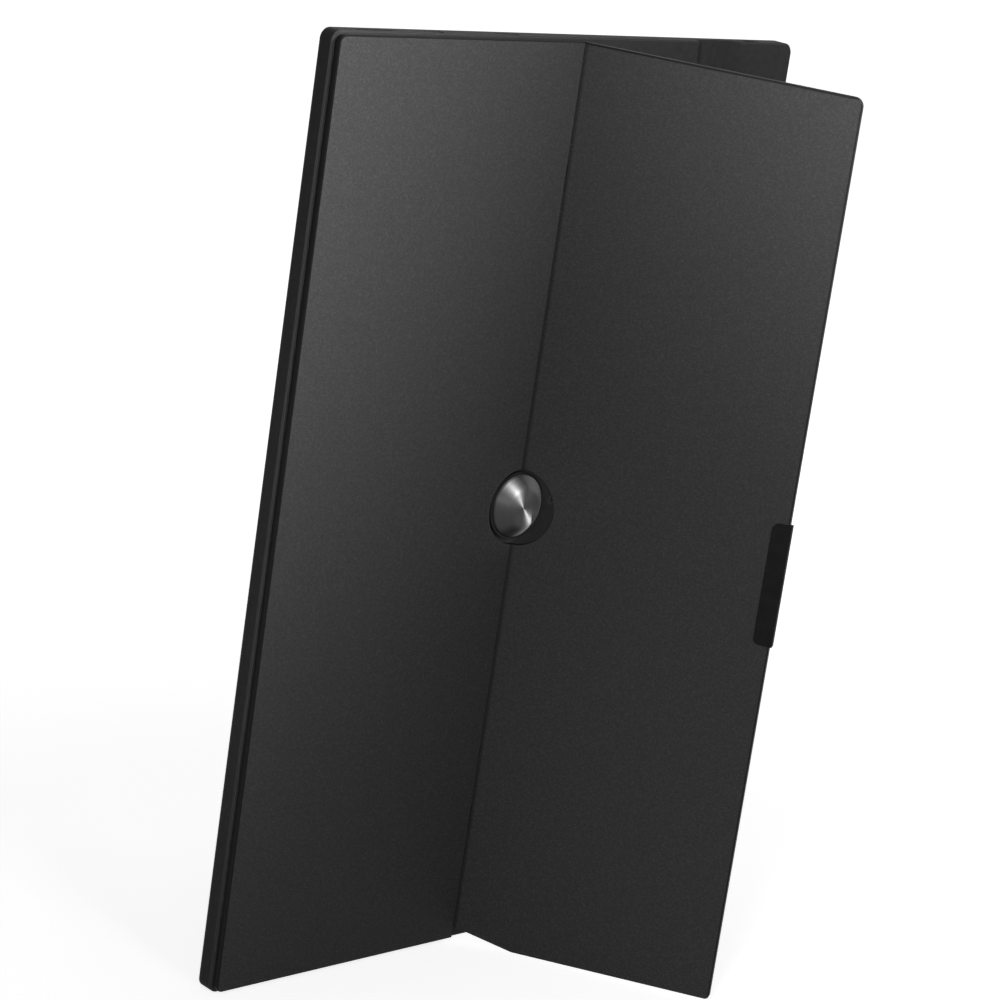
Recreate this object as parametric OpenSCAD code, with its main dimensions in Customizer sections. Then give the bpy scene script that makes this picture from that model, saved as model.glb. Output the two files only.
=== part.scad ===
// Slim portable monitor, standing on a short edge with its half-width back cover folded out as a stand.
// Seen from the back: x runs across, z runs up, and local y runs from the outer back plane to the screen.

/* [Body] */
// Width across the two long edges
body_w = 236; // [200:1:270]
// Height, standing on a short edge
body_h = 358; // [330:1:400]
// Thickness from the outer back plane to the screen side
body_t = 10; // [10:0.1:14]
// Corner radius of the body, seen from the back
corner_r = 4; // [3:0.25:8]
// Wall of the rear housing
wall = 1.6; // [1.2:0.1:2.4]
// Floor of the rear housing
floor_t = 0.9; // [0.8:0.1:1.2]
// Chamfer round the rear edge of the housing
rear_chamfer = 0.8; // [0.3:0.1:1.2]
// Thickness of the front bezel
bezel_t = 0.9; // [0.7:0.1:1.4]
// Chamfer round the front edge of the bezel
bezel_chamfer = 0.4; // [0.2:0.1:0.6]

/* [Back cover] */
// Thickness of the fixed cover and of the folding cover
cover_t = 2.4; // [2.4:0.1:3]
// Dark gap between the covers and the housing floor
cover_seam = 0.3; // [0.3:0.05:0.6]
// Reveal between a cover's edge and the body's edge
cover_inset = 1.2; // [0.8:0.1:2.5]
// Chamfer on the outer edge of a cover
cover_chamfer = 0.4; // [0.2:0.05:0.6]
// Hinge line, measured from the middle of the body
hinge_off = 2; // [-6:0.5:6]
// Width of the folding cover from its hinge line
flap_w = 105; // [90:0.5:107]
// How far the folding cover's top edge falls towards its free edge
flap_fall = 2.2; // [0:0.2:5]
// How far the folding cover's bottom edge rises towards its free edge
flap_rise = 1.2; // [0:0.2:5]
// Angle of the folding cover, 0 when closed
open_angle = 60; // [0:1:90]
// Corner radius at the top of the free edge
flap_top_r = 3.5; // [2:0.25:6]
// Corner radius at the bottom of the free edge
flap_bottom_r = 1.8; // [1:0.2:4]
// Length of the cut-off corner along the bottom edge
flap_cut_w = 24.8; // [10:0.2:40]
// Height of the cut-off corner on the hinge line
flap_cut_h = 4.6; // [2:0.2:10]
// Running gap beside the hinge bead
bead_gap = 0.35; // [0.3:0.05:0.6]
// Thickness of the liner sheet inside the folding cover
liner_t = 0.5; // [0.4:0.1:0.6]

/* [Rubber pad] */
// Length of the rubber pad on the free edge
pad_l = 47.5; // [30:0.5:80]
// Middle of the pad, measured down from the middle of the body
pad_drop = 8.5; // [-60:0.5:60]
// Width of the pad across the cover
pad_w = 6.5; // [4:0.5:12]
// How far the pad stands out past the free edge
pad_over = 1; // [0.4:0.1:2]
// How far the pad stands proud of the cover's outer face
pad_proud = 0.8; // [0.3:0.1:1.5]
// Radius of the pad's inner corners
pad_r = 2.5; // [1:0.25:3.5]

/* [Hub] */
// Radius of the round opening that both covers leave for the hub
hub_hole_r = 15.2; // [14:0.1:18]
// Radius of the hub at its foot
hub_r = 12.2; // [9:0.1:13]
// Radius of the hub's turned face
hub_face_r = 7.7; // [5:0.1:8.5]
// How far the turned face stands out from the back plane
hub_proud = 3.2; // [1:0.1:5]
// Height of the straight foot of the hub
hub_foot = 0.7; // [0.4:0.1:1]
// Depth of the dish in the turned face
hub_dish = 0.35; // [0.1:0.05:0.6]
// Radius of the hub's stud
hub_stud_r = 3; // [2:0.1:4]

/* [Hinges] */
// Middle of each hinge, measured from the nearer end of the body
hinge_in = 52; // [40:1:90]
// Length of the opening that a hinge takes in the bead
hinge_l = 26; // [20:0.5:36]
// Share of that length taken by the middle knuckle
knuckle_share = 0.4; // [0.3:0.05:0.6]
// Width of a hinge leaf
leaf_w = 12; // [8:0.5:18]
// Thickness of a hinge leaf
leaf_t = 0.8; // [0.6:0.05:0.9]
// Radius of the hinge pin
pin_r = 0.58; // [0.4:0.02:0.7]
// Clearance of the pin in the fixed knuckle
pin_fit = 0.01; // [0.01:0.005:0.02]
// Running clearance of the pin in the moving knuckles
pin_run = 0.04; // [0.02:0.01:0.08]

/* [Display] */
// Bezel on the long edge away from the chin
bezel_side = 6.6; // [5:0.2:10]
// Bezel on the long edge of the chin, over the driver board
bezel_chin = 14; // [12:0.2:20]
// Bezel on both short edges
bezel_end = 6.7; // [5:0.1:10]
// Border of the display module past the lit area
module_border = 2.6; // [2:0.1:3]
// Thickness of the display cell
cell_t = 0.8; // [0.6:0.1:1]
// Thickness of the diffuser sheets
diffuser_t = 0.4; // [0.3:0.1:0.5]
// Thickness of the light guide
guide_t = 0.6; // [0.5:0.1:0.7]
// Thickness of the metal backlight tray
tray_t = 0.3; // [0.2:0.1:0.4]
// Thickness of the matt film on the screen
film_t = 0.5; // [0.3:0.1:0.6]

/* [Ports and buttons] */
// Depth of the port row from the outer back plane
port_y = 5.35; // [5.2:0.05:5.6]
// Middle of the first USB-C port, measured from the left edge
usb_a_in = 48; // [44:0.2:54]
// Middle of the mini HDMI port, measured from the left edge
hdmi_in = 83.4; // [73:0.2:90]
// Middle of the second USB-C port, measured from the right edge
usb_b_in = 22.4; // [20:0.2:25]
// Length of a port shell
port_l = 8; // [7:0.2:10]
// Width of a USB-C opening
usb_open_w = 8.34; // [8.3:0.01:8.4]
// Height of a USB-C opening
usb_open_h = 2.56; // [2.5:0.01:2.6]
// Width of a mini HDMI opening
hdmi_open_w = 10.5; // [10.4:0.1:10.6]
// Height of a mini HDMI opening
hdmi_open_h = 2.5; // [2.4:0.05:2.6]
// Wall of a port shell
shell_t = 0.3; // [0.2:0.05:0.4]
// Middle of the sound slots, measured from the left edge
speaker_in = 21; // [19:0.2:22]
// Width of the row of sound slots
speaker_slot_row = 18; // [12:0.5:20]
// Number of sound slots in a row
speaker_slots = 9; // [5:1:12]
// Middle of the power button, measured down from the top edge
power_in = 58; // [40:1:72]
// Middle of the menu buttons, measured down from the top edge
menu_in = 96; // [86:1:118]
// Distance between the two menu buttons
menu_pitch = 14; // [12:0.5:20]
// Length of a button
button_l = 9; // [6:0.5:11]
// Width of a button
button_w = 2.4; // [1.8:0.1:2.8]
// How far a button stands out of the edge
button_proud = 0.5; // [0.4:0.05:0.8]
// Gap round a button in its opening
button_gap = 0.15; // [0.1:0.05:0.3]
// Right end of the finger notch, measured from the right edge
notch_in = 27; // [26:0.5:40]
// Length of the finger notch
notch_w = 27; // [20:0.2:29]
// Depth of the finger notch
notch_d = 3.3; // [1:0.1:3.4]
// Height of the finger notch below the top edge
notch_h = 14; // [8:0.5:24]

/* [Hidden] */

$fn = 48;
eps = 0.01;
lap = 0.2;
through = 1;
side_gap = 0.3;
fit_gap = 0.1;

// Planes and middles
floor_y = cover_t + cover_seam;
inner_y = floor_y + floor_t;
bezel_y = body_t - bezel_t;
mid_z = body_h / 2;
left_x = -body_w / 2;
right_x = body_w / 2;
hinge_x = hinge_off;
axis_y = cover_t / 2;
bead_r = cover_t / 2;
cover_r = corner_r - cover_inset;
cover_edge_x = hinge_x - bead_r - bead_gap;
flap_x = hinge_x + flap_w;
flap_top = body_h - cover_inset;
flap_foot = cover_inset;
reach = (flap_w + pad_over) * sin(open_angle) + (axis_y + pad_proud) * cos(open_angle) - axis_y;
y_shift = (reach - body_t) / 2;
x_shift = -button_proud / 2;

// Hinges
hinge_zs = [hinge_in, body_h - hinge_in];
knuckle_l = hinge_l * knuckle_share;
knuckle_gap = 0.1;
pin_sink = 0.5;
leaf_l = hinge_l - 1;
leaf_y = cover_t - leaf_t;
bracket_y = floor_y - leaf_t;
bracket_room = 0.5;
leaf_screw_r = 0.6;
leaf_head_r = 1.4;
leaf_head_t = 0.5;
sunk_head_t = 0.4;
leaf_skin = 0.7;
leaf_screw_pitch = 15;

// Display stack
window_x = left_x + bezel_side;
window_z = bezel_end;
active_w = body_w - bezel_side - bezel_chin;
active_h = body_h - 2 * bezel_end;
module_x = window_x - module_border;
module_w = active_w + 2 * module_border;
module_z = window_z - module_border;
module_h = active_h + 2 * module_border;
cell_y = bezel_y - cell_t;
diffuser_y = cell_y - diffuser_t;
guide_y = diffuser_y - guide_t;
tray_y = guide_y - tray_t;
tray_rim = 0.4;
sheet_gap = 0.2;
led_w = 1.6;
led_end = 6;

// Ports, boards and speakers
usb_a_x = left_x + usb_a_in;
hdmi_x = left_x + hdmi_in;
usb_b_x = right_x - usb_b_in;
speaker_x = left_x + speaker_in;
board_t = 0.8;
board_y = port_y - board_t / 2;
port_top = body_h - 0.3;
port_back = 1;
usb_w = usb_open_w + 2 * shell_t;
usb_h = usb_open_h + 2 * shell_t;
hdmi_w = hdmi_open_w + 2 * shell_t;
hdmi_h = hdmi_open_h + 2 * shell_t;
tongue_in = 0.8;
tongue_foot = 0.5;
usb_tongue_w = 6.7;
usb_tongue_t = 0.7;
hdmi_tongue_w = 8;
hdmi_tongue_t = 0.6;
board_in = 36;
board_x = left_x + board_in;
board_w = 66;
board_lap = 3;
board_top = port_top - port_l + board_lap;
board_h = 53;
board_z = board_top - board_h;
post_r = 1.6;
post_in = 4;
post_up = 16;
post_z = board_z + post_up;
can_in = 8;
can_w = 36;
can_h = 28;
can_t = 1;
chip_t = 0.8;
chip_w = 9;
plug_w = 4;
flex_w = 12;
flex_t = 0.2;
flex_z = board_z;
flex_tail = 3;
flex_lap = 10;
driver_w = 4;
driver_in = 65;
driver_x = module_x + module_w + 1;
driver_z = module_z + driver_in;
driver_l = module_h - 2 * driver_in;
port_board_w = 12.6;
port_board_h = 17;
cable_w = 4;
cable_t = 0.4;
cable_z = board_z + 3;
speaker_w = 22;
speaker_l = 16;
speaker_cone_r = 6.5;
speaker_cone_d = 0.5;
slot_w = speaker_slot_row / (2 * speaker_slots);
slot_h = 2.8;

// Buttons
power_z = body_h - power_in;
menu_z = body_h - menu_in;
button_zs = [power_z, menu_z - menu_pitch / 2, menu_z + menu_pitch / 2];
button_y = port_y;
button_flange = 0.8;
flange_lip = 0.5;
button_travel = 0.4;
switch_l = 2;
switch_w = 3;
switch_t = 2;
switch_drop = 0.35;
pipe_r = 0.8;
pipe_drop = 14;
pipe_sink = 0.2;
button_board_x = right_x - wall - button_flange - button_travel - fit_gap - switch_l - board_t;
button_board_h = 2.6;
button_board_end = 16;

// Screws and magnets
screw_clear = 0.1;
screw_head_r = 2;
screw_head_t = 0.7;
screw_shank_r = 0.8;
screw_sink = 0.1;
cross_w = 0.4;
cross_l = 2.4;
cross_d = 0.35;
boss_wall = 1;
boss_t = 1.1;
screw_in_hinge = 20;
screw_in_edge = 8;
screw_end = 40;
housing_screw_x = [hinge_x + screw_in_hinge, flap_x - screw_in_edge];
housing_screw_z = [screw_end, mid_z, body_h - screw_end];
magnet_in = 18;
magnet_x = flap_x - magnet_in;
magnet_w = 6;
magnet_l = 24;
magnet_end = 74;
magnet_zs = [magnet_end, body_h - magnet_end];
keeper_t = 1.2;
cover_magnet_t = 0.8;

// Hub
hub_foot_y = 1.4;
hub_lip = 1.2;
hub_boss_wall = 2;
hub_boss_t = 0.8;
hub_nut_r = hub_stud_r + 1.8;
hub_nut_t = 1.2;
hub_stud_end = inner_y + hub_boss_t + hub_nut_t + 0.2;
hub_step = 0.5;
hub_rise = 0.6;
hub_brow = 0.9;

// Fixed cover's seat, the liner and the rubber pad
seat_inset = 2.6;
seat_clear = 1;
pad_z = mid_z - pad_drop;
liner_in = 3;
liner_end = 8;
arc_steps = 10;

// Finger notch
notch_r_x = right_x - notch_in;
notch_l_x = notch_r_x - notch_w;
notch_slope = 6.5;
notch_step = 0.8;
notch_wall = 0.7;

// Profiles, drawn in x and z, and stood up so that local y is their thickness

module upright(t, y = 0) translate([0, y + t, 0]) rotate([90, 0, 0]) linear_extrude(t) children();

module round_rect(x, z, w, h, r) {
    translate([x + r, z]) square([w - 2 * r, h]);
    translate([x, z + r]) square([w, h - 2 * r]);
    for (cx = [x + r, x + w - r], cz = [z + r, z + h - r]) translate([cx, cz]) circle(r);
}

// A plate of thickness t whose edge at y = 0 has a chamfer c
module edged_plate(x, z, w, h, r, t, c) {
    upright(t - c, c) round_rect(x, z, w, h, r);
    upright(c + lap) round_rect(x + c, z + c, w - 2 * c, h - 2 * c, r - c);
    for (cx = [x + r, x + w - r], cz = [z + r, z + h - r])
        translate([cx, 0, cz]) rotate([-90, 0, 0]) rotate_extrude()
            polygon([[0, 0], [r - c, 0], [r, c], [r - lap, c + lap], [0, c + lap]]);
    for (side = [0, 1]) {
        translate([x + side * w, 0, z + r]) mirror([side, 0, 0]) linear_extrude(h - 2 * r)
            polygon([[c, 0], [c + lap, 0], [c + lap, c + lap], [lap, c + lap], [0, c]]);
        translate([x + r, 0, z + side * h]) mirror([0, 0, side]) rotate([90, 0, 90]) linear_extrude(w - 2 * r)
            polygon([[0, c], [c, 0], [c + lap, lap], [c + lap, c + lap], [0, c + lap]]);
    }
}

// Turns a piece of the closed cover about the hinge line to its open place
module opened() translate([hinge_x, axis_y, 0]) rotate([0, 0, -open_angle])
    translate([-hinge_x, -axis_y, 0]) children();

// Puts the local back plane so that the whole object stands centred on the origin
module placed() translate([x_shift, y_shift, 0]) children();

module along_y(r, y0, y1) translate([0, y0, 0]) rotate([-90, 0, 0]) cylinder(h = y1 - y0, r = r);

// A block between two planes of local y
module block(x, z, w, h, y0, y1) translate([x, y0, z]) cube([w, y1 - y0, h]);

// A flat bar with round ends, w long in x and h high in y, standing l along z
module capsule(w, h, l) linear_extrude(l) {
    translate([-(w - h) / 2, -h / 2]) square([w - h, h]);
    for (s = [-1, 1]) translate([s * (w - h) / 2, 0]) circle(h / 2);
}

module hdmi_profile(w, h) polygon([[-w / 2, -h / 2], [w / 2, -h / 2], [w / 2, h * 0.1],
    [w / 2 - h * 0.4, h / 2], [-w / 2 + h * 0.4, h / 2], [-w / 2, h * 0.1]]);

// Rear housing

module at_housing_screws() for (x = housing_screw_x, z = housing_screw_z) translate([x, 0, z]) children();
module at_hub() translate([hinge_x, 0, mid_z]) children();
module at_port(x, back = 0) translate([x, port_y, port_top - port_l - back]) children();

module port_cuts(grow, back) {
    for (x = [usb_a_x, usb_b_x]) at_port(x, back) capsule(usb_w + grow, usb_h + grow, port_l + back + through);
    at_port(hdmi_x, back) linear_extrude(port_l + back + through) hdmi_profile(hdmi_w + grow, hdmi_h + grow);
}

module speaker_cuts() for (i = [0 : speaker_slots - 1], z = [-through, body_h - wall - through])
    block(speaker_x - speaker_slot_row / 2 + (2 * i + 0.5) * slot_w, z, slot_w, wall + 2 * through,
        port_y - slot_h / 2, port_y + slot_h / 2);

module at_buttons() for (z = button_zs) translate([right_x, button_y, z]) children();

module button_shape(grow, l) rotate([0, 90, 0]) capsule(button_l + 2 * grow, button_w + 2 * grow, l);

// Room of the finger notch, from the recess floor down, with a slope at its right end
module notch_shape(grow, z0, z1) translate([0, 0, z0]) linear_extrude(z1 - z0) polygon([
    [notch_l_x - grow, floor_y - through], [notch_l_x + notch_step - grow, floor_y + notch_d + grow],
    [notch_r_x - notch_slope + grow, floor_y + notch_d + grow], [notch_r_x + grow, floor_y - fit_gap],
    [notch_r_x + grow, floor_y - through]]);

module rear_housing() color([0.13, 0.13, 0.135]) difference() {
    union() {
        difference() {
            translate([0, floor_y, 0])
                edged_plate(left_x, 0, body_w, body_h, corner_r, bezel_y - floor_y, rear_chamfer);
            upright(body_t, inner_y)
                round_rect(left_x + wall, wall, body_w - 2 * wall, body_h - 2 * wall, corner_r - wall);
        }
        intersection() {
            notch_shape(notch_wall, body_h - notch_h - notch_wall, body_h - wall + lap);
            block(notch_l_x - wall, body_h - notch_h - wall, notch_w + 2 * wall, notch_h + wall,
                inner_y - lap, bezel_y);
        }
        at_housing_screws() along_y(screw_head_r + boss_wall, inner_y - lap, inner_y + boss_t);
        at_hub() along_y(hub_stud_r + hub_boss_wall, inner_y - lap, inner_y + hub_boss_t);
        upright(cover_seam + lap, cover_t) cover_seat_profile();
    }
    notch_shape(0, body_h - notch_h, body_h + through);
    port_cuts(fit_gap, 0);
    speaker_cuts();
    at_buttons() translate([-wall - through, 0, 0]) button_shape(button_gap, wall + 2 * through);
    at_housing_screws()
        along_y(screw_head_r + screw_clear, floor_y - through, floor_y + screw_sink + screw_head_t);
    at_housing_screws() along_y(screw_shank_r + screw_clear, floor_y, inner_y + boss_t + through);
    at_hub() along_y(hub_stud_r + screw_clear, floor_y - through, inner_y + hub_boss_t + through);
    at_bracket_screws() along_y(leaf_screw_r + screw_clear / 2, cover_t, inner_y + through);
    translate([right_x - wall - through, button_y, power_z - pipe_drop])
        rotate([0, 90, 0]) cylinder(h = wall + 2 * through, r = pipe_r + screw_clear / 2);
}

// Raised seat of the fixed cover, kept clear of the hinge brackets and the hub
module cover_seat_profile() difference() {
    translate([left_x + cover_inset + seat_inset, cover_inset + seat_inset])
        square([cover_edge_x - left_x - cover_inset - 2 * seat_inset, body_h - 2 * (cover_inset + seat_inset)]);
    for (z = hinge_zs) translate([cover_edge_x - leaf_w - seat_clear, z - hinge_l / 2 - seat_clear])
        square([leaf_w + 2 * seat_clear, hinge_l + 2 * seat_clear]);
    translate([hinge_x, mid_z]) circle(hub_hole_r + seat_clear);
}

// Fixed cover on the other half of the back

module fixed_cover() color([0.20, 0.20, 0.205]) difference() {
    intersection() {
        edged_plate(left_x + cover_inset, cover_inset, body_w, body_h - 2 * cover_inset, cover_r,
            cover_t, cover_chamfer);
        block(left_x, -through, cover_edge_x - left_x, body_h + 2 * through, -through, cover_t + through);
    }
    at_hub() along_y(hub_hole_r, -through, cover_t + through);
    for (z = hinge_zs)
        block(cover_edge_x - leaf_w - bracket_room, z - hinge_l / 2 - side_gap, leaf_w + 2 * bracket_room,
            hinge_l + 2 * side_gap, bracket_y - leaf_head_t - fit_gap, cover_t + through);
}

// Hub in the middle of the hinge line, on a black seat

module hub_seat() color([0.05, 0.05, 0.05]) at_hub() difference() {
    along_y(hub_r + hub_lip, hub_foot_y, floor_y);
    along_y(hub_stud_r + screw_clear, hub_foot_y - through, floor_y + through);
}

module hub_cap() color([0.35, 0.35, 0.36]) at_hub() rotate([90, 0, 0]) rotate_extrude($fn = 96)
    polygon([[0, -hub_stud_end], [hub_stud_r, -hub_stud_end], [hub_stud_r, -hub_foot_y], [hub_r, -hub_foot_y],
        [hub_r, hub_foot - hub_foot_y], [hub_r - hub_step, hub_foot - hub_foot_y + hub_rise],
        [hub_face_r + hub_brow, hub_proud - hub_step], [hub_face_r, hub_proud],
        [hub_face_r - hub_step, hub_proud - hub_dish], [0, hub_proud - hub_dish]]);

module hub_nut() color([0.6, 0.6, 0.6]) at_hub() difference() {
    translate([0, inner_y + hub_boss_t, 0]) rotate([-90, 0, 0]) cylinder(h = hub_nut_t, r = hub_nut_r, $fn = 6);
    along_y(hub_stud_r + pin_fit, 0, body_t);
}

// Screen side

module front_bezel() color([0.04, 0.04, 0.04]) difference() {
    translate([0, body_t, 0]) mirror([0, 1, 0])
        edged_plate(left_x, 0, body_w, body_h, corner_r, bezel_t, bezel_chamfer);
    block(window_x, window_z, active_w, active_h, bezel_y - through, body_t + through);
}

module matt_film() color([0.02, 0.02, 0.025])
    block(window_x + fit_gap, window_z + fit_gap, active_w - 2 * fit_gap, active_h - 2 * fit_gap,
        bezel_y, bezel_y + film_t);

module module_block(inset, y0, y1, cut = 0)
    block(module_x + inset, module_z + inset, module_w - 2 * inset - cut, module_h - 2 * inset, y0, y1);

module display_cell() color([0.06, 0.06, 0.07]) module_block(tray_rim, cell_y, bezel_y);
module diffuser_sheets() color([0.9, 0.9, 0.88]) module_block(tray_rim + sheet_gap, diffuser_y, cell_y);
module light_guide() color([0.8, 0.85, 0.85]) module_block(tray_rim + sheet_gap, guide_y, diffuser_y, led_w);

module led_strip() color([0.95, 0.9, 0.6])
    block(module_x + module_w - tray_rim - led_w, module_z + led_end, led_w - fit_gap, module_h - 2 * led_end,
        guide_y, diffuser_y);

module backlight_tray() color([0.7, 0.7, 0.7]) difference() {
    module_block(0, tray_y, bezel_y);
    module_block(tray_rim, guide_y, body_t);
}

module driver_board() color([0.05, 0.25, 0.1])
    block(driver_x, driver_z, driver_w, driver_l, inner_y, inner_y + board_t);

module driver_flex() color([0.75, 0.5, 0.15]) {
    flex_x = board_x + board_w - plug_w - fit_gap;
    tail_z = driver_z + driver_l - flex_lap;
    block(flex_x, flex_z, driver_x - flex_x, flex_w, inner_y, inner_y + flex_t);
    block(driver_x - flex_tail, tail_z, flex_tail, flex_z - tail_z + eps, inner_y, inner_y + flex_t);
}

// Boards, ports and speakers

module main_board() color([0.03, 0.2, 0.08]) difference() {
    union() {
        block(board_x, board_z, board_w, board_top - board_z, board_y, board_y + board_t);
        for (x = [board_x + post_in, board_x + board_w - 3 * post_in])
            translate([x, 0, post_z]) along_y(post_r, inner_y, board_y + eps);
        block(board_x + board_w - plug_w, flex_z + plug_w / 2, plug_w - fit_gap, flex_w - plug_w,
            inner_y + flex_t, board_y + eps);
        for (z = [board_z + can_in, board_z + can_in + 2 * chip_w])
            block(board_x + can_in + can_w + post_in, z, chip_w, chip_w,
                board_y + board_t - eps, board_y + board_t + chip_t);
    }
    port_cuts(2 * fit_gap, fit_gap);
}

module shield_can() color([0.7, 0.7, 0.72])
    block(board_x + can_in, board_z + can_in, can_w, can_h, board_y + board_t, board_y + board_t + can_t);

module usb_port(x) at_port(x) {
    difference() {
        capsule(usb_w, usb_h, port_l);
        translate([0, 0, port_back]) capsule(usb_open_w, usb_open_h, port_l);
    }
    translate([-usb_tongue_w / 2, -usb_tongue_t / 2, tongue_foot])
        cube([usb_tongue_w, usb_tongue_t, port_l - tongue_in - tongue_foot]);
}

module usb_c_port_a() color([0.65, 0.65, 0.66]) usb_port(usb_a_x);
module usb_c_port_b() color([0.65, 0.65, 0.66]) usb_port(usb_b_x);

module mini_hdmi_port() color([0.65, 0.65, 0.66]) at_port(hdmi_x) {
    difference() {
        linear_extrude(port_l) hdmi_profile(hdmi_w, hdmi_h);
        translate([0, 0, port_back]) linear_extrude(port_l) hdmi_profile(hdmi_open_w, hdmi_open_h);
    }
    translate([-hdmi_tongue_w / 2, -hdmi_tongue_t, tongue_foot])
        cube([hdmi_tongue_w, hdmi_tongue_t, port_l - tongue_in - tongue_foot]);
}

module port_board() color([0.03, 0.2, 0.08]) difference() {
    union() {
        block(usb_b_x - port_board_w / 2, board_top - port_board_h, port_board_w, port_board_h,
            board_y, board_y + board_t);
        translate([usb_b_x, 0, board_top - port_board_h + post_in]) along_y(post_r, inner_y, board_y + eps);
    }
    port_cuts(2 * fit_gap, fit_gap);
}

module port_cable() color([0.1, 0.1, 0.1]) {
    cable_x = usb_b_x - port_board_w / 2;
    cable_y = board_y + cable_t / 2;
    block(board_x + board_w, cable_z, cable_x + cable_w - board_x - board_w, cable_w,
        cable_y, cable_y + cable_t);
    block(cable_x, cable_z, cable_w, board_top - port_board_h - cable_z, cable_y, cable_y + cable_t);
}

// A flat sound box with its cone on the screen side, against the wall with the slots
module speaker(z) difference() {
    block(speaker_x - speaker_w / 2, z, speaker_w, speaker_l, inner_y, tray_y - sheet_gap);
    translate([speaker_x, 0, z + speaker_l / 2])
        along_y(speaker_cone_r, tray_y - sheet_gap - speaker_cone_d, body_t);
}
module speaker_upper() color([0.08, 0.08, 0.08]) speaker(body_h - wall - speaker_l);
module speaker_lower() color([0.08, 0.08, 0.08]) speaker(wall);

// Buttons on the long edge

module button_board() color([0.03, 0.2, 0.08]) {
    block(button_board_x, menu_z - button_board_end, board_t, power_z - menu_z + 2 * button_board_end,
        inner_y, inner_y + button_board_h);
    for (z = button_zs)
        block(button_board_x + board_t - eps, z - switch_w / 2, switch_l, switch_w,
            button_y - switch_t / 2 - switch_drop, button_y + switch_t / 2 - switch_drop);
}

module light_pipe() color([0.8, 0.8, 0.8]) translate([button_board_x + board_t, button_y, power_z - pipe_drop])
    rotate([0, 90, 0]) cylinder(h = right_x - button_board_x - board_t - pipe_sink, r = pipe_r);

module button(z) translate([right_x - wall - button_flange, button_y, z]) {
    button_shape(0, wall + button_flange + button_proud);
    button_shape(flange_lip, button_flange);
}

module power_button() color([0.16, 0.16, 0.16]) button(power_z);
module menu_up_button() color([0.16, 0.16, 0.16]) button(menu_z + menu_pitch / 2);
module menu_down_button() color([0.16, 0.16, 0.16]) button(menu_z - menu_pitch / 2);

// Hinges: a fixed bracket and a moving leaf on one pin, near each end

module at_screw_pairs(x) for (z = hinge_zs, s = [-0.5, 0.5])
    translate([x, 0, z + s * leaf_screw_pitch]) children();
module at_bracket_screws() at_screw_pairs(cover_edge_x - leaf_w * 0.55) children();
module at_leaf_screws() at_screw_pairs(hinge_x + bead_r + leaf_w / 2) children();
module hinge_bores(r) for (z = hinge_zs)
    translate([hinge_x, axis_y, z - hinge_l]) cylinder(h = 2 * hinge_l, r = r);

module hinge_brackets() color([0.3, 0.3, 0.31]) difference() {
    for (z = hinge_zs) {
        block(cover_edge_x - leaf_w, z - leaf_l / 2, leaf_w, leaf_l, bracket_y, floor_y);
        block(cover_edge_x - lap, z - knuckle_l / 2, hinge_x - cover_edge_x + lap, knuckle_l,
            bracket_y, cover_t);
        translate([hinge_x, axis_y, z - knuckle_l / 2]) cylinder(h = knuckle_l, r = bead_r);
    }
    hinge_bores(pin_r + pin_fit);
    at_bracket_screws() along_y(leaf_screw_r + screw_clear / 2, 0, body_t);
}

module hinge_pins() color([0.75, 0.75, 0.76]) for (z = hinge_zs)
    translate([hinge_x, axis_y, z - leaf_l / 2 + pin_sink]) cylinder(h = leaf_l - 2 * pin_sink, r = pin_r);

module bracket_screws() color([0.6, 0.6, 0.6]) at_bracket_screws() {
    along_y(leaf_head_r, bracket_y - leaf_head_t, bracket_y);
    along_y(leaf_screw_r, bracket_y - eps, inner_y + leaf_head_t);
}

module housing_screws() color([0.3, 0.3, 0.3]) at_housing_screws() {
    difference() {
        along_y(screw_head_r, floor_y + screw_sink, floor_y + screw_sink + screw_head_t);
        for (a = [0, 90]) rotate([0, a, 0])
            translate([-cross_l / 2, floor_y, -cross_w / 2]) cube([cross_l, screw_sink + cross_d, cross_w]);
    }
    along_y(screw_shank_r, floor_y + screw_head_t, tray_y - screw_clear);
}

module keeper_magnets() color([0.5, 0.5, 0.52]) for (z = magnet_zs)
    block(magnet_x - magnet_w / 2, z - magnet_l / 2, magnet_w, magnet_l, inner_y, inner_y + keeper_t);

// Folding cover, drawn closed and turned about the hinge line

// Points of an arc about c, from angle a0 to a1
function arc(c, r, a0, a1) = [for (i = [0 : arc_steps])
    c + r * [cos(a0 + (a1 - a0) * i / arc_steps), sin(a0 + (a1 - a0) * i / arc_steps)]];

// Outline of the closed folding cover: its free corners are round, and its ends close in a little
module flap_profile() {
    fall_a = atan(flap_fall / flap_w);
    rise_a = atan(flap_rise / (flap_w - flap_cut_w));
    top_c = [flap_x - flap_top_r, flap_top - flap_fall + flap_top_r * (tan(fall_a) - 1 / cos(fall_a))];
    low_c = [flap_x - flap_bottom_r, flap_foot + flap_rise + flap_bottom_r * (1 / cos(rise_a) - tan(rise_a))];
    polygon(concat([[hinge_x, flap_foot + flap_cut_h], [hinge_x + flap_cut_w, flap_foot]],
        arc(low_c, flap_bottom_r, rise_a - 90, 0), arc(top_c, flap_top_r, 0, 90 - fall_a), [[hinge_x, flap_top]]));
}

module pad_profile(grow) {
    x0 = flap_x - pad_w;
    z0 = pad_z - pad_l / 2;
    translate([x0 + pad_r, z0 - grow]) square([pad_w + pad_over - pad_r, pad_l + 2 * grow]);
    translate([x0 - grow, z0 + pad_r]) square([pad_r + grow + lap, pad_l - 2 * pad_r]);
    for (z = [z0 + pad_r, z0 + pad_l - pad_r]) translate([x0 + pad_r, z]) circle(pad_r + grow);
}

module liner_profile(grow) translate([hinge_x + hub_hole_r + liner_in - grow, flap_foot + liner_end - grow])
    square([flap_w - hub_hole_r - pad_w - 2 * liner_in + 2 * grow,
        flap_top - flap_foot - 2 * liner_end + 2 * grow]);

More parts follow.
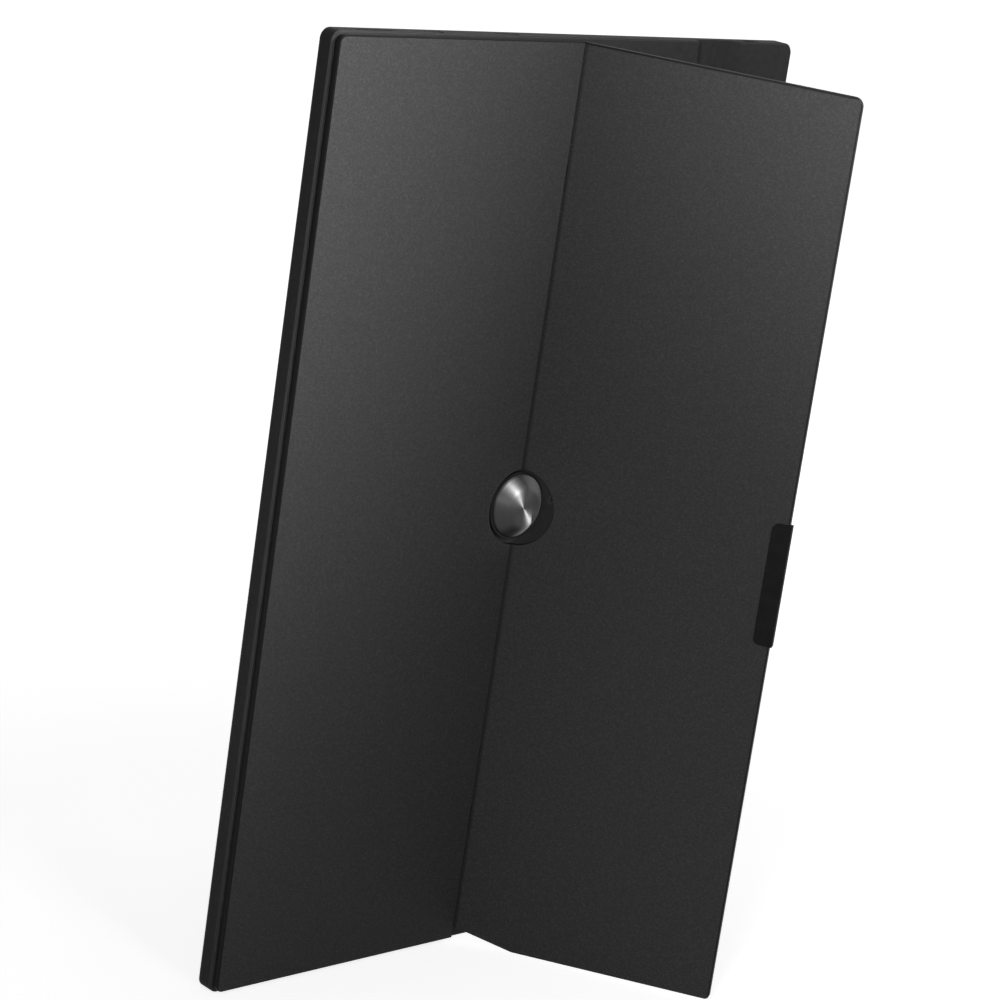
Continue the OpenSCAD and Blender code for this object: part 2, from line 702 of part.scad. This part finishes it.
module folding_cover() color([0.20, 0.20, 0.205]) opened() difference() {
    union() {
        upright(cover_t) flap_profile();
        translate([hinge_x, axis_y, flap_foot + flap_cut_h])
            cylinder(h = flap_top - flap_foot - flap_cut_h, r = bead_r);
    }
    at_hub() along_y(hub_hole_r, -through, cover_t + through);
    for (z = hinge_zs) {
        block(hinge_x - bead_r - through, z - hinge_l / 2, 2 * bead_r + through + side_gap, hinge_l,
            -through, cover_t + through);
        block(hinge_x, z - leaf_l / 2 - fit_gap, bead_r + leaf_w + fit_gap, leaf_l + 2 * fit_gap,
            leaf_y, cover_t + through);
    }
    at_leaf_screws() along_y(leaf_screw_r + screw_clear / 2, leaf_skin, cover_t);
    upright(cover_t, cover_t - liner_t) liner_profile(fit_gap);
    for (z = magnet_zs)
        block(magnet_x - magnet_w / 2 - fit_gap, z - magnet_l / 2 - fit_gap,
            magnet_w + 2 * fit_gap, magnet_l + 2 * fit_gap,
            cover_t - liner_t - cover_magnet_t, cover_t + through);
    upright(cover_t + 2 * through, -through) pad_profile(fit_gap / 2);
}

module cover_liner() color([0.08, 0.08, 0.08]) opened() upright(liner_t, cover_t - liner_t) liner_profile(0);

module cover_magnets() color([0.5, 0.5, 0.52]) opened() for (z = magnet_zs)
    block(magnet_x - magnet_w / 2, z - magnet_l / 2, magnet_w, magnet_l,
        cover_t - liner_t - cover_magnet_t, cover_t - liner_t);

module rubber_pad() color([0.03, 0.03, 0.03]) opened() upright(cover_t + pad_proud, -pad_proud) pad_profile(0);

module cover_leaves() color([0.3, 0.3, 0.31]) opened() difference() {
    for (z = hinge_zs) {
        block(hinge_x + bead_r, z - leaf_l / 2, leaf_w, leaf_l, leaf_y, cover_t);
        for (z0 = [z - leaf_l / 2, z + knuckle_l / 2 + knuckle_gap]) {
            knuckle = (leaf_l - knuckle_l) / 2 - knuckle_gap;
            translate([hinge_x, axis_y, z0]) cylinder(h = knuckle, r = bead_r);
            block(hinge_x, z0, bead_r + lap, knuckle, leaf_y, cover_t);
        }
    }
    hinge_bores(pin_r + pin_run);
    at_leaf_screws() {
        along_y(leaf_screw_r + screw_clear / 2, 0, body_t);
        along_y(leaf_head_r + screw_clear / 2, cover_t - sunk_head_t, body_t);
    }
}

module leaf_screws() color([0.6, 0.6, 0.6]) opened() at_leaf_screws() {
    along_y(leaf_screw_r, leaf_skin + fit_gap, cover_t);
    along_y(leaf_head_r, cover_t - sunk_head_t, cover_t);
}

placed() rear_housing();
placed() fixed_cover();
placed() hub_seat();
placed() hub_cap();
placed() hub_nut();
placed() front_bezel();
placed() matt_film();
placed() display_cell();
placed() diffuser_sheets();
placed() light_guide();
placed() led_strip();
placed() backlight_tray();
placed() driver_board();
placed() driver_flex();
placed() main_board();
placed() shield_can();
placed() usb_c_port_a();
placed() usb_c_port_b();
placed() mini_hdmi_port();
placed() port_board();
placed() port_cable();
placed() speaker_upper();
placed() speaker_lower();
placed() button_board();
placed() light_pipe();
placed() power_button();
placed() menu_up_button();
placed() menu_down_button();
placed() hinge_brackets();
placed() hinge_pins();
placed() bracket_screws();
placed() housing_screws();
placed() keeper_magnets();
placed() folding_cover();
placed() cover_liner();
placed() cover_magnets();
placed() rubber_pad();
placed() cover_leaves();
placed() leaf_screws();
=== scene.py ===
# %% [markdown]
# # A portable monitor that stands on its own cover
# The object is a slim portable monitor, standing on a short edge and seen from behind.
# Half of its back folds out on a long hinge and props it up.
# The shapes come from the CAD model, which is loaded first and stays where it is.
# This lesson gives each part its finish, adds the small trims that CAD leaves out,
# and then sets up the floor, the lamps and the camera.

import bpy
import math
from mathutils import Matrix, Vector


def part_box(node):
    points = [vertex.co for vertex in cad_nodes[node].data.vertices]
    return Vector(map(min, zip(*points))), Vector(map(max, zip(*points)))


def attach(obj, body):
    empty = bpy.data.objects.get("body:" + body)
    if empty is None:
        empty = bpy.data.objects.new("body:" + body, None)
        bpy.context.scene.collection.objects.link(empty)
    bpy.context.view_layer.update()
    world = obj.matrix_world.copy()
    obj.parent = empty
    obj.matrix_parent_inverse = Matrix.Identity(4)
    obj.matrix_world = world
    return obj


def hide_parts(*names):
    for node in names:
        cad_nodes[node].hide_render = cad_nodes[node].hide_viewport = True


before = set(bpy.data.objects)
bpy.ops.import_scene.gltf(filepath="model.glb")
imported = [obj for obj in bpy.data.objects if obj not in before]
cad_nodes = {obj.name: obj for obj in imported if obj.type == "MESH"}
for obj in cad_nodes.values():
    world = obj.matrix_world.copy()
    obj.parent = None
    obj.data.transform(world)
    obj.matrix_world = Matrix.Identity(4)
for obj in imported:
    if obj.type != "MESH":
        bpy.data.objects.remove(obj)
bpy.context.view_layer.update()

# %% [markdown]
# ## The camera
# The viewer stands to the left of the monitor's back and looks slightly down on it.
# The place, the turn and the focal length were found by matching the body's edges
# to the photograph, so perspective and proportions agree at the same time.
# A long lens keeps the tall edges nearly parallel, as in a product photograph.

# %% Camera
camera_data = bpy.data.cameras.new("studio_camera")
camera = bpy.data.objects.new("studio_camera", camera_data)
bpy.context.scene.collection.objects.link(camera)
camera.location = (-0.82681, -0.77510, 0.49551)
camera.rotation_euler = [math.radians(a) for a in (75.1424, -8.3298, -43.5579)]
camera_data.sensor_width = 36
camera_data.lens = 114.254
camera_data.shift_x = -0.04
camera_data.shift_y = -0.02
camera_data.clip_start = 0.05
camera_data.clip_end = 60
bpy.context.scene.camera = camera
print("camera lens", camera_data.lens, "mm")

# %% [markdown]
# ## Node helpers
# Every finish here is a Principled shader with a few texture nodes in front of it.
# The first helper starts a material and the second adds a node to it. A value that comes
# from another node becomes a link, and any other value is written on the socket.

# %% Start a material and add a node
def new_finish(name, colour, roughness, metallic=0.0, specular=0.5):
    material = bpy.data.materials.new(name)
    material.use_nodes = True
    shader = material.node_tree.nodes["Principled BSDF"]
    shader.inputs["Base Color"].default_value = (*colour, 1)
    shader.inputs["Roughness"].default_value = roughness
    shader.inputs["Metallic"].default_value = metallic
    shader.inputs["Specular IOR Level"].default_value = specular
    return material


def shader_of(material):
    return material.node_tree.nodes["Principled BSDF"]


def wire(material, value, socket):
    if isinstance(value, bpy.types.NodeSocket):
        material.node_tree.links.new(value, socket)
    else:
        socket.default_value = value


def add_node(material, kind, settings=None, **inputs):
    node = material.node_tree.nodes.new(kind)
    for key, value in (settings or {}).items():
        setattr(node, key, value)
    for key, value in inputs.items():
        wire(material, value, node.inputs[key.replace("_", " ")])
    return node


def plug(material, output, socket_name):
    wire(material, output, shader_of(material).inputs[socket_name])


# %% [markdown]
# Patterns are laid on Object coordinates. They are in metres here, so a noise scale of 1000
# has grains of a millimetre. Two more helpers do a sum on numbers and on vectors.

# %% Coordinates and sums
def object_points(material):
    return add_node(material, "ShaderNodeTexCoord").outputs["Object"]


def number(material, operation, first, second=None):
    node = add_node(material, "ShaderNodeMath", {"operation": operation})
    wire(material, first, node.inputs[0])
    if second is not None:
        wire(material, second, node.inputs[1])
    return node.outputs[0]


def vector(material, operation, first, second=None):
    node = add_node(material, "ShaderNodeVectorMath", {"operation": operation})
    wire(material, first, node.inputs[0])
    if second is not None:
        wire(material, second, node.inputs[1])
    return node.outputs["Value" if operation in ("DOT_PRODUCT", "LENGTH") else "Vector"]


def spread(material, value, low, high, from_low=0.3, from_high=0.7):
    node = add_node(material, "ShaderNodeMapRange", Value=value, From_Min=from_low,
                    From_Max=from_high, To_Min=low, To_Max=high)
    return node.outputs["Result"]


def past(material, value, reach):
    softness = 0.0001
    return spread(material, value, 0, 1, reach - softness, reach + softness)


# %% [markdown]
# Each finish needs a noise, a blend between two colours and a bump from a height.
# The last helper puts a finish on CAD nodes, whose meshes aren't touched by it.

# %% Noise, colour, bump and dressing
def grain(material, scale, detail=2.0, stretch=(1, 1, 1)):
    mapping = add_node(material, "ShaderNodeMapping", Vector=object_points(material), Scale=stretch)
    noise = add_node(material, "ShaderNodeTexNoise", Vector=mapping.outputs["Vector"], Scale=scale,
                     Detail=detail, Roughness=0.5)
    return noise.outputs["Fac"]


def blend_colour(material, share, first, second):
    mix = add_node(material, "ShaderNodeMix", {"data_type": "RGBA"}, Factor=share)
    for socket, colour in (("A", first), ("B", second)):
        solid = not isinstance(colour, bpy.types.NodeSocket)
        wire(material, (*colour, 1) if solid else colour, mix.inputs[socket])
    return mix.outputs["Result"]


def grey(level):
    return (level, level, level)


def bump(material, height, strength, distance):
    node = add_node(material, "ShaderNodeBump", Height=height, Strength=strength, Distance=distance)
    plug(material, node.outputs["Normal"], "Normal")


def dress(material, *names):
    for name in names:
        slots = cad_nodes[name].data.materials
        slots.clear()
        slots.append(material)
    print(material.name, "on", ", ".join(names))


# %% [markdown]
# ## The covers' charcoal paint
# Both covers carry a dark paint with a fine metallic sparkle. Close up it is thousands of
# tiny flakes, each turned a little differently. A Voronoi texture gives each flake a
# random value, which lightens a few of the flakes and changes their roughness.
#
# The cut edges of the covers are bare and nearly black. The Normal output of Texture
# Coordinate stays with the piece when the cover turns, so it can tell a face that looks
# straight out of the cover from one on its edge. Where the two covers meet, the fold lies in
# shade, and a painted shade darkens the paint near the hinge axis to draw that dark crease.
# The paint also stops just short of the upper and the free edge of the folding cover.

# %% Where the folding cover lies
hinge_pin = (0.00175, 0.041999)
open_angle = math.radians(60)
along_cover = (math.cos(open_angle), -math.sin(open_angle))
out_of_cover = (-math.sin(open_angle), -math.cos(open_angle), 0)
cover_width = 0.105
cover_fall = 0.0022
cover_top = 0.3568
print("folding cover", cover_width, "m wide,", math.degrees(open_angle), "degrees open")

# %% Where the paint stops
def from_hinge_pin(material):
    mapping = add_node(material, "ShaderNodeMapping", Vector=object_points(material),
                       Location=(-hinge_pin[0], -hinge_pin[1], 0))
    return mapping.outputs["Vector"]


def edge_share(material, facing):
    normal = add_node(material, "ShaderNodeTexCoord").outputs["Normal"]
    turned_out = number(material, "ABSOLUTE", vector(material, "DOT_PRODUCT", normal, facing))
    return spread(material, turned_out, 1, 0, 0.9, 0.97)


# Painted shade: the paint darkens within about 2 mm of the hinge axis, where the fold is in shade.
def painted_crease_shade(material):
    across = vector(material, "MULTIPLY", from_hinge_pin(material), (1, 1, 0))
    return spread(material, vector(material, "LENGTH", across), 0.6, 0, 0.0015, 0.0022)


def past_line(material, direction, reach):
    return past(material, vector(material, "DOT_PRODUCT", from_hinge_pin(material), direction), reach)


# %% Sparkle paint
def sparkle_paint(name, facing, borders=()):
    paint = new_finish(name, grey(0.044), 0.5, specular=0.06)
    flakes = add_node(paint, "ShaderNodeTexVoronoi", Vector=object_points(paint), Scale=2600.0)
    value = add_node(paint, "ShaderNodeSeparateColor", Color=flakes.outputs["Color"])
    glint = number(paint, "MULTIPLY", value.outputs["Red"], grain(paint, 900, 3))
    coat = blend_colour(paint, spread(paint, glint, 0, 1, 0.1, 0.6), grey(0.034), grey(0.054))
    # The paint turns nearly black on the bare cut edges and along the borders, and darkens as painted
    # crease shade near the hinge axis.
    bare_edge_and_crease_shade = number(paint, "MAXIMUM", edge_share(paint, facing), painted_crease_shade(paint))
    for direction, reach in borders:
        bare_edge_and_crease_shade = number(paint, "MAXIMUM", bare_edge_and_crease_shade, past_line(paint, direction, reach))
    plug(paint, blend_colour(paint, bare_edge_and_crease_shade, coat, grey(0.010)), "Base Color")
    plug(paint, spread(paint, value.outputs["Green"], 0.44, 0.56, 0, 1), "Roughness")
    bump(paint, grain(paint, 2200), 0.2, 0.00005)
    return paint


fall = cover_fall / cover_width
top_line = ((fall * along_cover[0], fall * along_cover[1], 1), cover_top - 0.0008)
free_line = ((*along_cover, 0), cover_width - 0.0006)
fixed_paint = sparkle_paint("fixed_cover_paint", (0, -1, 0))
folding_paint = sparkle_paint("folding_cover_paint", out_of_cover, [top_line, free_line])
dress(fixed_paint, "fixed_cover", "hinge_brackets")
dress(folding_paint, "folding_cover", "cover_leaves")

# %% [markdown]
# ## Lips over the hinges
# At each hinge the folding cover has a slot for the knuckles. On the real cover a thin lip
# closes it, so that the fold is one clean line. Each lip is a small outline, placed along
# and out of the cover, and extruded over the length of the hinge. Its hollow side follows
# the knuckles without touching them, so it can turn with the cover.

# %% Hinge lips
lip_outline = [(0.50, 1.20), (1.48, 1.20), (1.48, 0.35), (1.27, 0.35), (1.12, 0.72), (0.85, 0.98),
               (0.50, 1.175)]
lip_length = 0.0258


def hinge_lip(name, middle_z):
    bpy.ops.object.select_all(action="DESELECT")
    bpy.ops.mesh.primitive_circle_add(vertices=len(lip_outline), radius=0.001, fill_type="NGON")
    lip = bpy.context.object
    lip.name = name
    for vertex, (along, out) in zip(lip.data.vertices, lip_outline):
        vertex.co = (hinge_pin[0] + (along * along_cover[0] + out * out_of_cover[0]) / 1000,
                     hinge_pin[1] + (along * along_cover[1] + out * out_of_cover[1]) / 1000,
                     middle_z - lip_length / 2)
    bpy.ops.object.mode_set(mode="EDIT")
    bpy.ops.mesh.select_all(action="SELECT")
    bpy.ops.mesh.extrude_region_move(TRANSFORM_OT_translate={"value": (0, 0, lip_length)})
    bpy.ops.mesh.select_all(action="SELECT")
    bpy.ops.mesh.normals_make_consistent(inside=False)
    bpy.ops.object.mode_set(mode="OBJECT")
    lip.data.materials.append(folding_paint)
    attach(lip, "cover")
    print(name, [round(v * 1000, 1) for v in lip.dimensions], "mm")


hinge_lip("lower_hinge_lip", 0.052)
hinge_lip("upper_hinge_lip", 0.306)

# %% [markdown]
# ## Moulded plastic
# The bezel, the seat of the hub, the buttons and the speakers are moulded, with a fine
# spark-eroded texture. A small bump from a noise does it. The pad and the liner are softer
# and duller, and the same recipe makes them with a higher roughness.

# %% Plastics
def moulded(name, dark, light, roughness, fineness=1600, specular=0.3):
    material = new_finish(name, light, roughness, specular=specular)
    mottle = spread(material, grain(material, fineness / 4, 3), 0, 1)
    plug(material, blend_colour(material, mottle, dark, light), "Base Color")
    dull = spread(material, grain(material, fineness / 2), roughness - 0.05, roughness + 0.05)
    plug(material, dull, "Roughness")
    bump(material, grain(material, fineness), 0.3, 0.00004)
    return material


dress(moulded("bezel_plastic", grey(0.010), grey(0.014), 0.45), "front_bezel")
dress(moulded("seat_plastic", grey(0.009), grey(0.013), 0.7, specular=0.06), "hub_seat")
dress(moulded("button_plastic", (0.020, 0.020, 0.021), (0.028, 0.028, 0.029), 0.4),
      "power_button", "menu_up_button", "menu_down_button")
dress(moulded("speaker_box", grey(0.010), grey(0.016), 0.55), "speaker_upper", "speaker_lower")
dress(moulded("liner_sheet", grey(0.008), grey(0.014), 0.8, 900), "cover_liner")
dress(moulded("pad_rubber", grey(0.006), grey(0.010), 0.8, 1200, specular=0.1), "rubber_pad")

# %% [markdown]
# The housing has the same moulded plastic, a little duller. Along the back edge of its side
# walls run two fine ribs, whose highlights are painted as lighter lines: a wave across the wall,
# kept in a narrow band by the depth behind the back, and on the walls by the distance from the middle.

# %% Painted rib highlights on the housing
housing = new_finish("housing_plastic", grey(0.022), 0.62, specular=0.06)
housing_low, housing_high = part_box("rear_housing")
wall_depth = 0.0012
band_middle = housing_low.y + 0.0011
band_half = 0.0005


def beyond(value, middle, reach):
    from_middle = number(housing, "SUBTRACT", value, middle)
    return past(housing, number(housing, "ABSOLUTE", from_middle), reach)


def on_walls(value, low, high):
    return beyond(value, (low + high) / 2, (high - low) / 2 - wall_depth)


place = add_node(housing, "ShaderNodeSeparateXYZ", Vector=object_points(housing))
on_wall = number(housing, "MAXIMUM", on_walls(place.outputs["X"], housing_low.x, housing_high.x),
                 on_walls(place.outputs["Z"], housing_low.z, housing_high.z))
waves = add_node(housing, "ShaderNodeTexWave", {"bands_direction": "Y"},
                 Vector=object_points(housing), Scale=620.0)
in_band = spread(housing, beyond(place.outputs["Y"], band_middle, band_half), 1, 0, 0, 1)
rib_highlight_share = number(housing, "MULTIPLY",
                    number(housing, "MULTIPLY", on_wall, waves.outputs["Fac"]), in_band)
print("fine lines in a band", band_half * 2000, "mm wide")

# %% Housing
mottle = spread(housing, grain(housing, 400, 3), 0, 1)
plain = blend_colour(housing, mottle, grey(0.026), grey(0.034))
# Painted highlight: the ribs are drawn as lighter grey lines in the housing's colour.
plug(housing, blend_colour(housing, rib_highlight_share, plain, grey(0.065)), "Base Color")
plug(housing, spread(housing, grain(housing, 800), 0.58, 0.68), "Roughness")
bump(housing, grain(housing, 1600), 0.3, 0.00004)
dress(housing, "rear_housing")

# %% [markdown]
# ## The hub
# The hub is one piece of dark metal cut on a lathe: a stud, a wide foot, a sloping flank and
# a shallow dish. The CAD solid has a sharp rim round the dish, the real one is rounded.
# So it is modelled again as a lathe would cut it: a disc is extruded ring by ring, and each
# ring is scaled to the radius of the next cut. A cut is a radius and a depth behind the
# rim, in millimetres.

# %% Shape of the hub
hub_low, hub_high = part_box("hub_cap")
hub_x = (hub_low.x + hub_high.x) / 2
hub_z = (hub_low.z + hub_high.z) / 2
stud_end = (hub_high.y - hub_low.y) * 1000
cuts = [(3.0, stud_end), (3.0, 4.6), (12.2, 4.6), (12.2, 3.95), (12.05, 3.65), (11.7, 3.3),
        (10.35, 2.05), (9.05, 0.85), (8.6, 0.48), (8.15, 0.22), (7.7, 0.06), (7.2, 0.0),
        (6.6, 0.02), (5.5, 0.12), (4.0, 0.26), (2.4, 0.36), (1.0, 0.42), (0.25, 0.44)]
bpy.ops.object.select_all(action="DESELECT")
bpy.ops.mesh.primitive_circle_add(vertices=128, radius=cuts[0][0] / 1000, fill_type="NGON",
                                  location=(hub_x, hub_low.y + cuts[0][1] / 1000, hub_z),
                                  rotation=(math.pi / 2, 0, 0))
turned_hub = bpy.context.object
turned_hub.name = "turned_hub"
bpy.ops.object.transform_apply(location=True, rotation=True, scale=True)
bpy.ops.object.mode_set(mode="EDIT")
bpy.ops.mesh.select_all(action="SELECT")
for (radius, y), (next_radius, next_y) in zip(cuts, cuts[1:]):
    step = (0, (next_y - y) / 1000, 0)
    bpy.ops.mesh.extrude_region_move(TRANSFORM_OT_translate={"value": step})
    if next_radius != radius:
        factor = next_radius / radius
        bpy.ops.transform.resize(value=(factor, 1, factor), center_override=(hub_x, 0, hub_z))
bpy.ops.mesh.select_all(action="SELECT")
bpy.ops.mesh.normals_make_consistent(inside=False)
bpy.ops.object.mode_set(mode="OBJECT")
bpy.ops.object.shade_smooth_by_angle(angle=math.radians(35))
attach(turned_hub, "monitor")
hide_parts("hub_cap")
print("hub rings", len(cuts), "faces", len(turned_hub.data.polygons))

# %% [markdown]
# The lathe leaves grooves too fine to see one by one. Each groove spreads light across
# itself and hardly along itself, which draws bright fans, as on a disc. The anisotropy of
# the Principled shader does this, if its tangent points away from the centre everywhere.

# %% Turned metal
turned = new_finish("turned_metal", grey(0.06), 0.5, metallic=1.0)
shader_of(turned).inputs["Anisotropic"].default_value = 0.9
from_centre = add_node(turned, "ShaderNodeMapping", Vector=object_points(turned),
                       Location=(-hub_x, 0, -hub_z))
offset = vector(turned, "MULTIPLY", from_centre.outputs["Vector"], (1, 0, 1))
plug(turned, vector(turned, "NORMALIZE", offset), "Tangent")
groove = add_node(turned, "ShaderNodeTexNoise", {"noise_dimensions": "1D"},
                  W=vector(turned, "LENGTH", offset), Scale=5000.0, Detail=1.0)
groove_share = spread(turned, groove.outputs["Fac"], 0, 1)
plug(turned, blend_colour(turned, groove_share, grey(0.052), grey(0.066)), "Base Color")
turned_hub.data.materials.append(turned)
dress(turned, "hub_cap")

# %% [markdown]
# ## Sheet metal, steel and small hardware
# Pins and most screws are bright steel, the screws in the recess are blackened, and the
# port shells are stamped and dark. A noise stretched along one way stands for the rolling
# marks.

# %% Metals
def metal(name, colour, roughness, stretch=(1, 1, 1)):
    material = new_finish(name, colour, roughness, metallic=1.0)
    marks = grain(material, 700, 3, stretch)
    darker = [c * 0.8 for c in colour]
    plug(material, blend_colour(material, spread(material, marks, 0, 1), darker, colour), "Base Color")
    plug(material, spread(material, marks, roughness - 0.06, roughness + 0.08), "Roughness")
    bump(material, marks, 0.15, 0.00003)
    return material


dress(metal("bright_steel", (0.55, 0.55, 0.56), 0.28),
      "hinge_pins", "bracket_screws", "leaf_screws", "hub_nut")
dress(metal("dark_screw", grey(0.02), 0.5), "housing_screws")
dress(metal("port_plating", grey(0.10), 0.35, (1, 1, 0.1)),
      "usb_c_port_a", "usb_c_port_b", "mini_hdmi_port")
dress(metal("tray_sheet", (0.6, 0.6, 0.61), 0.4, (1, 1, 0.05)), "backlight_tray", "shield_can")
dress(metal("magnet_nickel", (0.48, 0.48, 0.5), 0.3), "keeper_magnets", "cover_magnets")

# %% [markdown]
# ## The screen and what lies behind it
# The screen side has a matt film that scatters reflections, so its roughness is moderate
# and its bump very fine. The sheets and cables behind it are closed in, but each still has
# the finish that it has in a real display.

# %% Screen film and sheets
film = new_finish("matt_film", (0.006, 0.006, 0.008), 0.32, specular=0.5)
bump(film, grain(film, 5000), 0.2, 0.00001)
plug(film, spread(film, grain(film, 60), 0.30, 0.36), "Roughness")
dress(film, "matt_film")
dress(moulded("display_glass", (0.03, 0.03, 0.035), (0.04, 0.04, 0.045), 0.2, 300), "display_cell")
dress(moulded("white_sheets", (0.78, 0.78, 0.76), (0.85, 0.85, 0.83), 0.6, 400), "diffuser_sheets")
dress(moulded("light_guide_acrylic", (0.70, 0.74, 0.74), (0.76, 0.80, 0.80), 0.2, 200), "light_guide")
dress(moulded("led_tape", (0.75, 0.72, 0.45), (0.85, 0.82, 0.55), 0.5, 800), "led_strip")
dress(moulded("cable_jacket", grey(0.02), grey(0.03), 0.5), "port_cable")
dress(moulded("clear_pipe", grey(0.6), grey(0.7), 0.25), "light_pipe")

# %% [markdown]
# A circuit board is a green mask with slightly lighter copper lines under it. Bricks in the
# colour of the mask, with thin mortar in the colour of the copper, draw such a grid.

# %% Boards
def circuit(name, mask, copper):
    material = new_finish(name, mask, 0.35, specular=0.5)
    lighter = [c * 1.3 for c in mask]
    tracks = add_node(material, "ShaderNodeTexBrick", Vector=object_points(material), Scale=400.0,
                      Mortar_Size=0.03, Color1=(*mask, 1), Color2=(*lighter, 1), Mortar=(*copper, 1))
    plug(material, tracks.outputs["Color"], "Base Color")
    bump(material, tracks.outputs["Fac"], 0.2, 0.00003)
    return material


dress(circuit("board_mask", (0.01, 0.07, 0.03), (0.03, 0.16, 0.07)),
      "main_board", "driver_board", "port_board", "button_board")
dress(circuit("flex_film", (0.35, 0.20, 0.05), (0.45, 0.28, 0.08)), "driver_flex")

# %% [markdown]
# ## Floor and background
# The photograph has a plain white background. The floor is a pale plane that the camera
# and mirror reflections see as white, with a little diffuse light on top of it near the
# object, so that the object's shadow still falls on it. The world is white in the same
# way, and gives only a faint light to everything else.

# %% Floor
def seen_share(material):
    rays = add_node(material, "ShaderNodeLightPath").outputs
    direct = number(material, "MAXIMUM", rays["Is Camera Ray"], rays["Is Glossy Ray"])
    return number(material, "MAXIMUM", direct, rays["Is Transmission Ray"])


bpy.ops.object.select_all(action="DESELECT")
bpy.ops.mesh.primitive_plane_add(size=24, location=(0, 0, 0))
floor = bpy.context.object
floor.name = "studio_floor"
floor_paint = new_finish("floor_paint", grey(0.8), 0.9, specular=0.0)
plug(floor_paint, (1, 1, 1, 1), "Emission Color")
distance = vector(floor_paint, "LENGTH", object_points(floor_paint))
fade = spread(floor_paint, distance, 0.80, 1.0, 0.25, 0.7)
plug(floor_paint, number(floor_paint, "MULTIPLY", seen_share(floor_paint), fade), "Emission Strength")
floor.data.materials.append(floor_paint)
print("floor", tuple(floor.dimensions))

# %% World
world = bpy.data.worlds.new("studio_world")
bpy.context.scene.world = world
world.use_nodes = True
faint_light = 0.12
sky = world.node_tree.nodes["Background"]
sky.inputs["Color"].default_value = (1, 1, 1, 1)
wire(world, spread(world, seen_share(world), faint_light, 1.0, 0, 1), sky.inputs["Strength"])
print("world light", faint_light)

# %% [markdown]
# ## Lamps
# Two large softboxes, one on each side, give a weak general light, so that no side of the
# object is black.

# %% Softboxes
def hang(name, lamp, place, aim):
    holder = bpy.data.objects.new(name, lamp)
    bpy.context.scene.collection.objects.link(holder)
    holder.location = place
    holder.rotation_euler = (Vector(aim) - Vector(place)).to_track_quat("-Z", "Y").to_euler()
    print(name, "at", place, lamp.energy, "W")
    return holder


def softbox(name, place, aim, size, watts):
    lamp = bpy.data.lights.new(name, "AREA")
    lamp.shape = "RECTANGLE"
    lamp.size = lamp.size_y = size
    lamp.energy = watts
    hang(name, lamp, place, aim)


softbox("right_softbox", (1.4, -0.35, 0.6), (-0.1, 0, 0.3), 1.0, 6)
softbox("left_softbox", (-0.9, -0.9, 0.35), (0, 0, 0.2), 0.6, 2)

# %% [markdown]
# In the photograph the back is brightest at its top left corner and falls off towards the
# foot and into the fold. Lamps with soft-edged cones do this. A cone with a full blend has
# no visible border, so it shades a flat panel evenly from bright to dark. Each is aimed
# past an edge, and only one flank of its cone falls on the object.

# %% Cone lamps
def cone_lamp(name, place, aim, cone, watts, radius=0.12, blend=1.0):
    lamp = bpy.data.lights.new(name, "SPOT")
    lamp.spot_size = math.radians(cone)
    lamp.spot_blend = blend
    lamp.shadow_soft_size = radius
    lamp.energy = watts
    return hang(name, lamp, place, aim)


cone_lamp("panel_lamp", (0.3, -1.1, 0.7), (-0.27, 0.04, 0.42), 28, 142)
cone_lamp("panel_edge_lamp", (-0.1, -1.2, 0.6), (-0.30, 0.04, 0.34), 30, 56)
cone_lamp("panel_foot_lamp", (-0.3, -1.2, 0.45), (-0.28, 0.04, 0.12), 26, 14)
cone_lamp("cover_lamp", (-0.9, -0.6, 0.65), (0.16, -0.14, 0.47), 26, 144)
cone_lamp("cover_foot_lamp", (-0.9, -0.6, 0.5), (0.16, -0.14, 0.12), 34, 22)

# %% [markdown]
# A last narrow lamp picks out the turned hub. It passes close along the folding cover and
# would leave a pool of light there, so it lights mirror-like reflections only. The dark
# paint next to the hub has next to none, and the metal has nothing else.

# %% Hub lamp
hub_lamp = cone_lamp("hub_lamp", (0.25, -1.12, 0.71), (hub_x, hub_low.y, hub_z), 1.3, 280, 0.005, 0.5)
hub_lamp.visible_diffuse = False

# %% Finish with the view transform
bpy.context.scene.view_settings.view_transform = "Standard"
